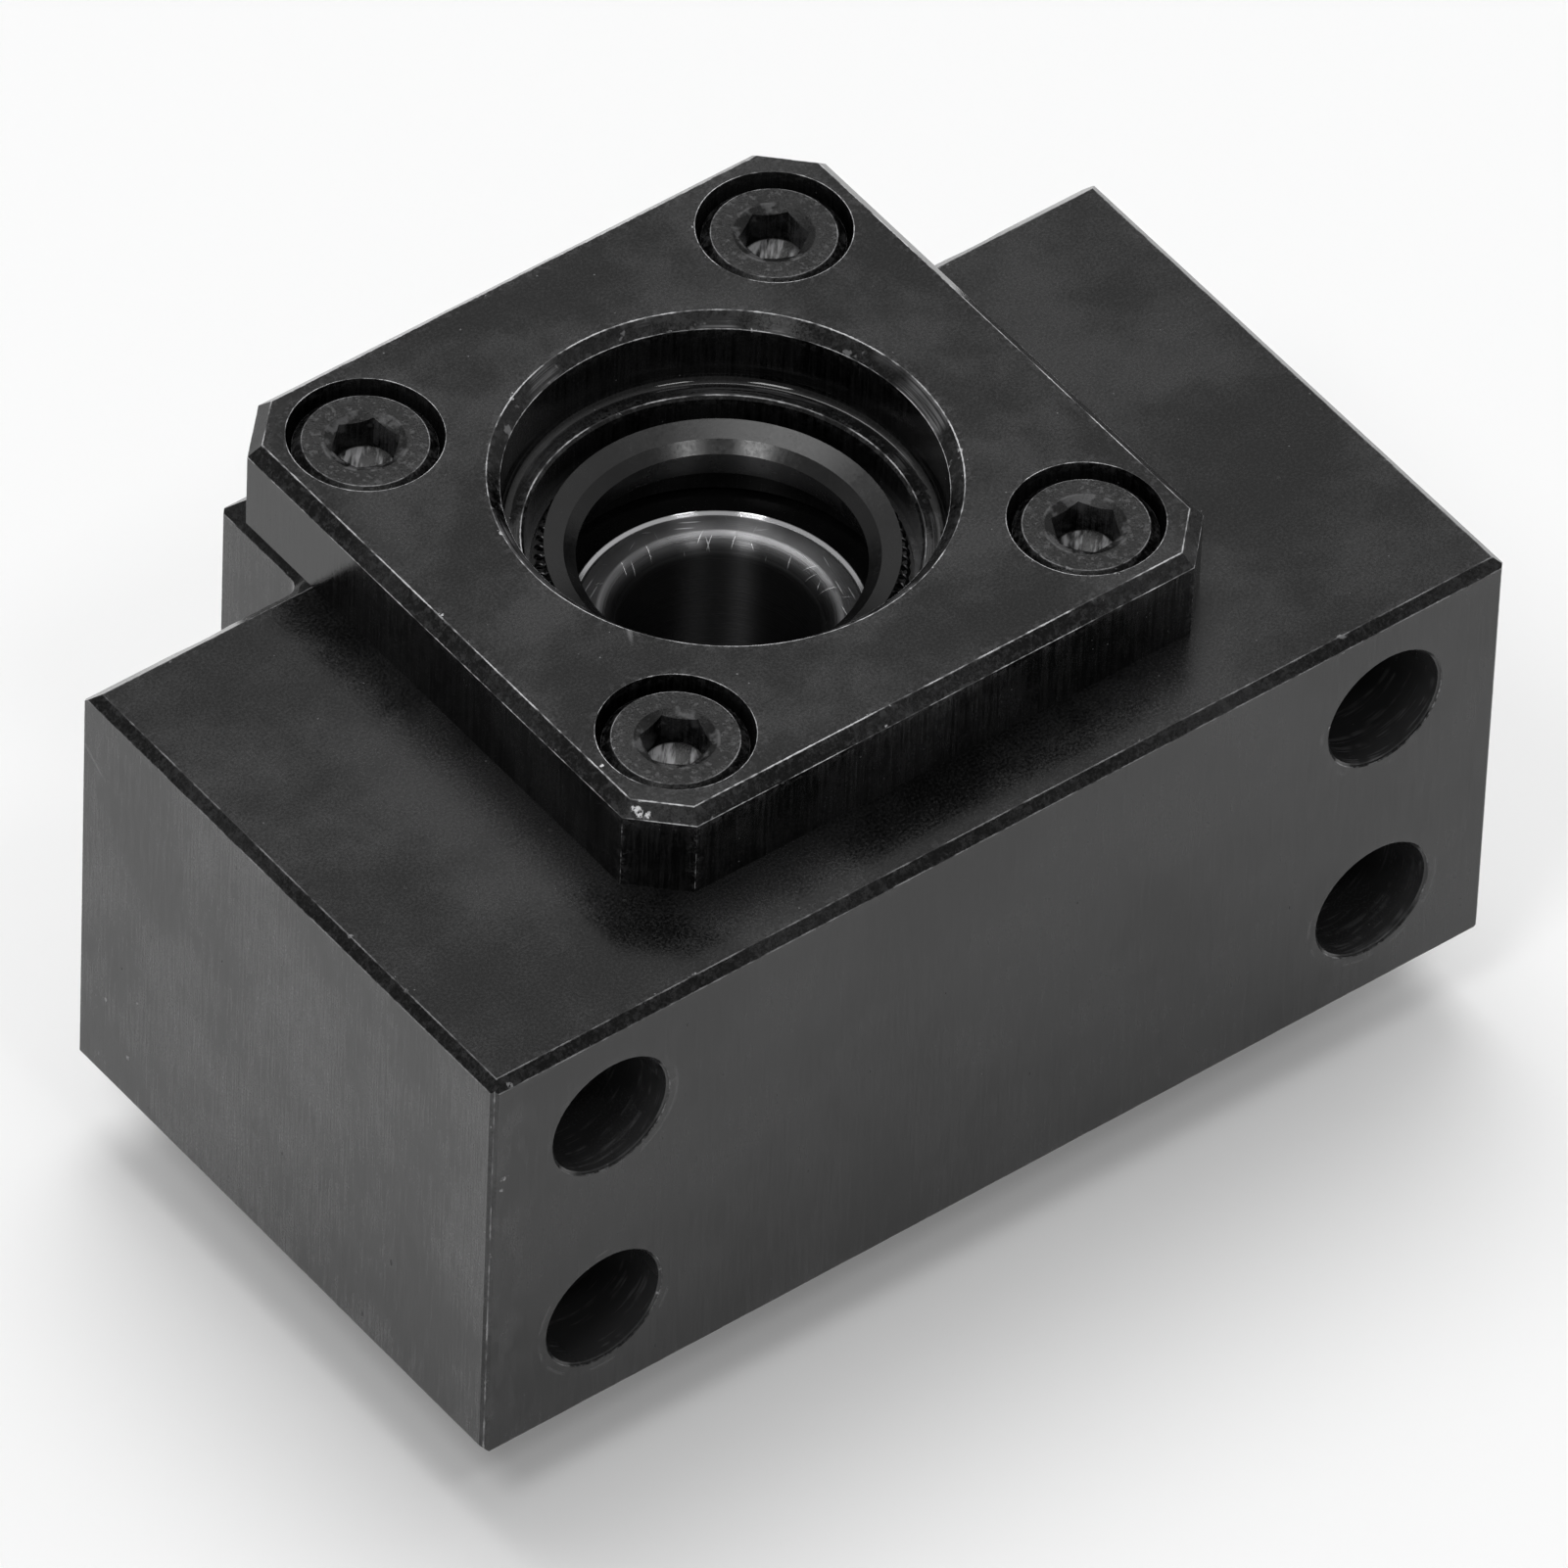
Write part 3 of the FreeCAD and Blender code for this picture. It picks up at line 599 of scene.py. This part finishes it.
def screwBare(x, y, z, r, spot):
    look = screwLook
    axis = screwAxis(x, y)
    floor = axis.ramp(*look["floorRadius"], 1.0, 0.0) * z.ramp(*look["floorHeight"], 1.0, 0.0)
    diagonal = vector(x.tree, (x - y) * look["streakAcross"], (x + y) * look["streakLong"], z)
    streaks = mask(diagonal, look["streaks"])
    skin = abs(axis - look["skinRadius"]).ramp(*look["skinStep"], 1.0, 0.0)
    skin = mask(spot, look["skin"]) * skin * look["skinTone"]
    mouth = abs(axis - look["mouthRadius"]).ramp(*look["mouthStep"], 1.0, 0.0)
    mouth = mouth * mask(spot, look["mouth"]) * look["mouthTone"]
    return floor * streaks, skin.atLeast(mouth) * z.ramp(*look["headHeight"]), None


give("lid_screws", blackOxide("screwBlackOxide", screwLook, screwEdges, screwBare))

# turned steel of the collar, the bearings and the springs

turnedShape = {
    "cloudGrain": (4.0, 0.6), "cloudStep": (0.3, 0.7), "flakes": 3.0, "soft": 0.1, "paintedHighlightStep": (0.07, 0.12),
    "lipHighlightWidth": 0.45, "roughStep": (0.2, 0.8), "wearRough": 0.1, "mouthRough": 0.75, "paintedHighlightRough": 0.12,
    "boreRelief": 2.5, "scratchRelief": 0.5, "paintedHighlightRelief": 0.2, "drawnTurn": 0.25,
}


def turnedSteel(name, look):
    # from the axis out: a drawn bore, its mouth with painted shade below a lip of painted highlight, the
    # ground face, and one painted highlight line
    shape = turnedShape
    material, shader, spot = newFinish(name)
    tree = material.node_tree
    x, y, z = parts(spot)
    r = reach(x, y)
    marks = place(tree, turnedMarks, Radius=r, Height=z, Fineness=look["fineness"], Vector=spot)
    cloud = noise(spot, look["clouds"], *shape["cloudGrain"]).ramp(*shape["cloudStep"])
    distance = nearest([reach(r - radius, z - height) for radius, height in look["edges"]])
    wear, _ = place(tree, edgeWear, Vector=spot, Distance=distance, Width=look["wearWidth"],
                    Breaks=look["wearBreaks"], Flakes=shape["flakes"])
    boreEnd = (look["boreTo"], look["boreTo"] + shape["soft"])
    mouthEnd = (look["mouthTo"], look["mouthTo"] + shape["soft"])
    scratches = hairScratches(tree, spot, look) * r.ramp(*boreEnd)
    inside = r.ramp(*boreEnd, 1.0, 0.0)
    mouth = r.ramp(*mouthEnd, 1.0, 0.0)
    lipHighlight = r.ramp(look["mouthTo"] - shape["lipHighlightWidth"], look["mouthTo"])
    # a thin ring of light colour, low roughness and less relief: a painted highlight for the glint along the
    # ring's edge
    paintedHighlight = abs(r - look["paintedHighlightAt"]).ramp(*shape["paintedHighlightStep"], 1.0, 0.0)
    tone = blendColor(cloud * 0.5 + marks * 0.5, look["dark"], look["light"])
    # the mouth runs from a painted highlight at its lip to painted shade towards the bore, as light falls on
    # a rounded mouth
    tone = blendColor(mouth, tone, blendColor(lipHighlight, look["mouthTone"], look["lipPaintedHighlight"]))
    tone = blendColor(inside, tone, look["boreTone"])
    tone = blendColor(wear.atLeast(scratches * look["scratchTone"]), tone, look["bare"])
    tone = blendColor(paintedHighlight, tone, look["bare"])
    spread = look["roughSpread"]
    rough = marks.ramp(*shape["roughStep"], look["rough"] - spread, look["rough"] + spread)
    rough = rough + inside * look["boreRough"] - wear * shape["wearRough"]
    rough = lerp(paintedHighlight, lerp(mouth, rough, rough * shape["mouthRough"]), shape["paintedHighlightRough"])
    relief = marks * lerp(inside, 1.0, shape["boreRelief"]) - scratches * shape["scratchRelief"]
    drawn = {"Anisotropic": look["drawn"], "Anisotropic Rotation": shape["drawnTurn"]}
    finishShader(
        shader, {"Base Color": tone, "Roughness": rough, "Metallic": look["metal"], **drawn},
        relief * lerp(paintedHighlight, 1.0, shape["paintedHighlightRelief"]), look["bump"], look["depth"],
    )
    return material


# rear collar

collarLook = {
    "fineness": 7.0, "clouds": 0.3, "metal": 0.0, "dark": 0.005, "light": 0.01, "bare": 0.25,
    "boreTo": 5.02, "boreTone": 0.008, "boreRough": 0.0, "mouthTo": 1.0, "mouthTone": 0.01, "lipPaintedHighlight": 0.01,
    "paintedHighlightAt": 40.0, "drawn": 0.0,
    "rough": 0.25, "roughSpread": 0.06, "wearWidth": 0.06, "wearBreaks": 0.45,
    "edges": [(6.5, -5.0), (6.9, -4.6), (5.4, -5.0)], "scratchTone": 0.3,
    "hairTurns": [(0.0, 0.0, 20.0), (0.0, 0.0, 75.0)], "hairScale": 0.7, "hairWidth": 0.05, "hairShare": 0.2,
    "bump": 0.3, "depth": 0.02,
}
give("rear_collar", turnedSteel("collarBlackOxide", collarLook))

# bearings

ringLook = {
    "fineness": 9.0, "clouds": 0.6, "metal": 1.0, "dark": 0.13, "light": 0.24, "bare": 0.66,
    "boreTo": 5.02, "boreTone": 0.065, "boreRough": 0.1, "mouthTo": 5.9,
    # the mouth's tone is painted shade, and the lip's tone and the line at 7.12 are painted highlights
    "mouthTone": 0.09, "lipPaintedHighlight": 0.36, "paintedHighlightAt": 7.12,
    "rough": 0.4, "roughSpread": 0.08, "wearWidth": 0.04, "wearBreaks": 0.5, "drawn": 1.0,
    "edges": [(7.27, 20.55), (7.27, 4.65)], "scratchTone": 0.9,
    "hairTurns": [(0.0, 0.0, 15.0), (0.0, 0.0, 60.0), (0.0, 0.0, 120.0)],
    "hairScale": 4.5, "hairWidth": 0.22, "hairShare": 0.85, "bump": 0.9, "depth": 0.02,
}
ringSteel = turnedSteel("ringSteel", ringLook)
for bearing in ("rear_bearing", "front_bearing"):
    for ring in ("inner_ring", "outer_ring"):
        give(f"{bearing}_{ring}", ringSteel)

# a radius of 40 and an edge at 30 lie outside the piece, so they take that effect away
ballLook = dict(
    ringLook, dark=0.55, light=0.62, rough=0.1, roughSpread=0.02, edges=[(30.0, 0.0)], hairShare=0.05,
    bump=0.05, boreTo=1.0, mouthTo=1.0, paintedHighlightAt=40.0, drawn=0.0,
)
ballSteel = turnedSteel("ballSteel", ballLook)

mouldedShape = {
    "skinGrain": (3.0, 0.6), "cloudGrain": (4.0, 0.6), "cloudStep": (0.3, 0.7), "cloudShare": 0.6,
    "ringFineness": 5.0, "dustScale": 2.5, "dustSize": 0.07, "dustCover": 0.4, "dustTone": 0.12,
    "steelSoft": 0.02, "steelTone": 0.08, "steelMetal": 0.9,
    "roughStep": (0.25, 0.75), "roughSpread": 0.05, "cloudRough": 0.06, "skinRelief": 0.6, "depth": 0.02,
}


def mouldedFinish(name, look):
    # rubber or plastic: cloudy tone, fine skin, faint rings, and a steel rim beyond its radius
    shape = mouldedShape
    material, shader, spot = newFinish(name)
    tree = material.node_tree
    x, y, z = parts(spot)
    r = reach(x, y)
    skin = noise(spot, look["skin"], *shape["skinGrain"])
    cloud = noise(spot, look["clouds"], *shape["cloudGrain"]).ramp(*shape["cloudStep"])
    marks = place(tree, turnedMarks, Radius=r, Height=z, Fineness=shape["ringFineness"], Vector=spot)
    dust = place(tree, specks, Vector=spot, Scale=shape["dustScale"], Size=shape["dustSize"],
                 Share=look["dust"])
    steel = r.ramp(look["steelFrom"] - shape["steelSoft"], look["steelFrom"] + shape["steelSoft"])
    mottle = cloud * shape["cloudShare"] + skin * (1.0 - shape["cloudShare"])
    color = blendColor(mottle, look["dark"], look["light"])
    color = blendColor(dust * shape["dustCover"], color, shape["dustTone"])
    color = blendColor(steel, color, shape["steelTone"])
    spread = shape["roughSpread"]
    rough = skin.ramp(*shape["roughStep"], look["rough"] - spread, look["rough"] + spread)
    rough = rough + cloud * shape["cloudRough"]
    finishShader(
        shader, {"Base Color": color, "Roughness": rough, "Metallic": steel * shape["steelMetal"]},
        skin * shape["skinRelief"] + marks * look["rings"], look["bump"], shape["depth"],
    )
    return material


shieldLook = {
    "dark": 0.004, "light": 0.008, "skin": 5.0, "clouds": 0.4, "dust": 0.06, "rough": 0.2, "rings": 0.2,
    "bump": 0.12, "steelFrom": 40.0,
}
sealLook = dict(shieldLook, dark=0.003, light=0.009, rough=0.2, rings=0.25, bump=0.12, steelFrom=9.12)
cageLook = dict(shieldLook, dark=(0.5, 0.36, 0.16, 1.0), light=(0.62, 0.47, 0.24, 1.0), rough=0.45, rings=0.1)

shieldRubber = mouldedFinish("shieldRubber", shieldLook)
cagePlastic = mouldedFinish("cagePlastic", cageLook)
sealRubber = mouldedFinish("sealRubber", sealLook)
for bearing in ("rear_bearing", "front_bearing"):
    give(f"{bearing}_balls", ballSteel)
    give(f"{bearing}_cage", cagePlastic)
    give(f"{bearing}_lower_shield", shieldRubber)
    give(f"{bearing}_upper_shield", shieldRubber)
for seal in ("rear_seal", "front_seal"):
    give(seal, sealRubber)
print("finishes on all CAD nodes")

# garter springs of the shaft seals, wound in place of the CAD's plain rings

springLook = {
    "turns": 88, "stepsPerTurn": 10, "wireSides": 6,
    "ringRadius": 8.61, "coilRadius": 0.25, "wireRadius": 0.09,
}
wireLook = dict(ballLook, dark=0.04, light=0.09, rough=0.3, bump=0.2)
wireSteel = turnedSteel("springWire", wireLook)


def coilTree(look):
    # a wire wound round a circle, from the circle's own points
    group = bpy.data.node_groups.new("garterSpring", "GeometryNodeTree")
    group.interface.new_socket("Geometry", in_out="OUTPUT", socket_type="NodeSocketGeometry")
    inputs = {}
    for label, kind, value in (
        ("Turns", "Int", look["turns"]), ("Steps per turn", "Int", look["stepsPerTurn"]),
        ("Wire sides", "Int", look["wireSides"]),
        ("Ring radius", "Float", look["ringRadius"] / perMetre),
        ("Coil radius", "Float", look["coilRadius"] / perMetre),
        ("Wire radius", "Float", look["wireRadius"] / perMetre),
        ("Height", "Float", 0.0),
    ):
        socket = group.interface.new_socket(label, in_out="INPUT", socket_type=f"NodeSocket{kind}")
        socket.default_value = value
        inputs[label] = socket.identifier
    source = group.nodes.new("NodeGroupInput")
    values = {label: Field(group, source.outputs[label]) for label in inputs}
    count = values["Turns"] * values["Steps per turn"]
    circle = addNode(group, "GeometryNodeCurvePrimitiveCircle", "Curve", {"Resolution": count, "Radius": 1.0})
    around = addNode(group, "GeometryNodeInputIndex", 0, {}) / count * (2.0 * math.pi)
    wound = around * values["Turns"]
    out = values["Ring radius"] + values["Coil radius"] * wound.math("COSINE")
    up = values["Height"] + values["Coil radius"] * wound.math("SINE")
    position = vector(group, out * around.math("COSINE"), out * around.math("SINE"), up)
    moved = addNode(group, "GeometryNodeSetPosition", 0, {"Geometry": circle, "Position": position})
    wire = addNode(group, "GeometryNodeCurvePrimitiveCircle", "Curve", {
        "Resolution": values["Wire sides"], "Radius": values["Wire radius"],
    })
    tube = addNode(group, "GeometryNodeCurveToMesh", 0, {"Curve": moved, "Profile Curve": wire})
    smooth = addNode(group, "GeometryNodeSetShadeSmooth", 0, {0: tube})
    real = addNode(group, "GeometryNodeRealizeInstances", 0, {0: smooth})
    finished = addNode(group, "GeometryNodeSetMaterial", 0, {"Geometry": real, "Material": wireSteel})
    sink = group.nodes.new("NodeGroupOutput")
    feed(group, finished, sink.inputs[0])
    return group, inputs


def windSpring(name, group, inputs, height, node):
    holder = bpy.data.objects.new(f"{name}Holder", bpy.data.meshes.new(f"{name}Holder"))
    scene.collection.objects.link(holder)
    modifier = holder.modifiers.new("wind", "NODES")
    modifier.node_group = group
    modifier[inputs["Height"]] = height
    graph = bpy.context.evaluated_depsgraph_get()
    mesh = bpy.data.meshes.new_from_object(holder.evaluated_get(graph))
    bpy.data.objects.remove(holder)
    spring = bpy.data.objects.new(name, mesh)
    scene.collection.objects.link(spring)
    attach(spring, "block")
    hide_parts(node)
    return spring


coilGroup, coilInputs = coilTree(springLook)
for end in ("rear", "front"):
    node = f"{end}_seal_spring"
    low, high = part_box(node)
    spring = windSpring(f"{end}GarterSpring", coilGroup, coilInputs, (low.z + high.z) / 2, node)
    print(spring.name, len(spring.data.polygons), "faces")

# floor, light and camera

white = (1.0, 1.0, 1.0, 1.0)
studio = {
    "floorHalf": 3.0, "floor": 0.95, "floorGlow": 0.15, "room": 0.22,
    # pale areas of the ceiling: azimuth and height in degrees, cosines of their rim and full part, level
    "ceiling": [(45.0, 60.0, 0.35, 1.0, 0.43), (70.0, 71.0, 0.92, 0.98, 4.7)],
    "lampDistance": 0.8, "lampRadiance": 10.0,
    # azimuth and height in degrees, width and length in metres
    "lamps": {"rightSoftbox": (-95.0, 58.0, 0.14, 0.1), "leftSoftbox": (-155.0, 58.0, 0.16, 0.2)},
}


def layFloor(look):
    half = look["floorHalf"]
    level = cadBox[0][2]
    corners = [(-half, -half, level), (half, -half, level), (half, half, level), (-half, half, level)]
    mesh = bpy.data.meshes.new("floor")
    mesh.from_pydata(corners, [], [(0, 1, 2, 3)])
    floor = bpy.data.objects.new("floor", mesh)
    scene.collection.objects.link(floor)
    material = bpy.data.materials.new("paleFloor")
    material.use_nodes = True
    tree = material.node_tree
    tree.nodes.clear()
    seen = tree.nodes.new("ShaderNodeLightPath")
    rays = ("Is Camera Ray", "Is Glossy Ray", "Is Transmission Ray")
    camera, glossy, clear = (Field(tree, seen.outputs[label]) for label in rays)
    paper = addNode(tree, "ShaderNodeBsdfDiffuse", 0, {"Color": (look["floor"],) * 3 + (1.0,)})
    glow = addNode(tree, "ShaderNodeEmission", 0, {"Color": white, "Strength": 1.0})
    share = camera.atLeast(glossy).atLeast(clear) * look["floorGlow"]
    mixed = addNode(tree, "ShaderNodeMixShader", 0, {0: share, 1: paper, 2: glow})
    output = tree.nodes.new("ShaderNodeOutputMaterial")
    feed(tree, mixed, output.inputs[0])
    mesh.materials.append(material)


def toward(azimuth, height):
    across, up = math.radians(azimuth), math.radians(height)
    return math.cos(across) * math.cos(up), math.sin(across) * math.cos(up), math.sin(up)


def lightSky(look):
    # a grey room whose ceiling has one broad pale area and a small bright one
    world = bpy.data.worlds.new("studioWorld")
    world.use_nodes = True
    scene.world = world
    tree = world.node_tree
    ray = addNode(tree, "ShaderNodeTexCoord", "Generated", {})
    level = look["room"]
    for azimuth, height, rim, full, strength in look["ceiling"]:
        near = addNode(tree, "ShaderNodeVectorMath", "Value", {0: ray, 1: toward(azimuth, height)},
                       operation="DOT_PRODUCT")
        level = near.ramp(rim, full, 0.0, strength) + level
    sky = tree.nodes["Background"]
    sky.inputs["Color"].default_value = white
    feed(tree, level, sky.inputs["Strength"])


def hangSoftbox(name, look, azimuth, height, width, length):
    data = bpy.data.lights.new(name, "AREA")
    data.shape = "RECTANGLE"
    data.size, data.size_y = width, length
    data.energy = look["lampRadiance"] * math.pi * width * length
    lamp = bpy.data.objects.new(name, data)
    lamp.location = [look["lampDistance"] * amount for amount in toward(azimuth, height)]
    lamp.rotation_euler = (-lamp.location).to_track_quat("-Z", "Y").to_euler()
    scene.collection.objects.link(lamp)


layFloor(studio)
lightSky(studio)
for name, direction in studio["lamps"].items():
    hangSoftbox(name, studio, *direction)

# lens and sensor in millimetres, place in metres and turn in degrees
photoView = {
    "lens": 555.223, "sensor": 36.0,
    "place": (-0.51013167, -0.63274822, 0.83146175), "turn": (44.652482, -1.765315, -37.329001),
}
cameraData = bpy.data.cameras.new("photoCamera")
cameraData.lens = photoView["lens"]
cameraData.sensor_width = photoView["sensor"]
camera = bpy.data.objects.new("photoCamera", cameraData)
camera.location = photoView["place"]
camera.rotation_euler = [math.radians(angle) for angle in photoView["turn"]]
scene.collection.objects.link(camera)
scene.camera = camera
print("floor, light and camera set")
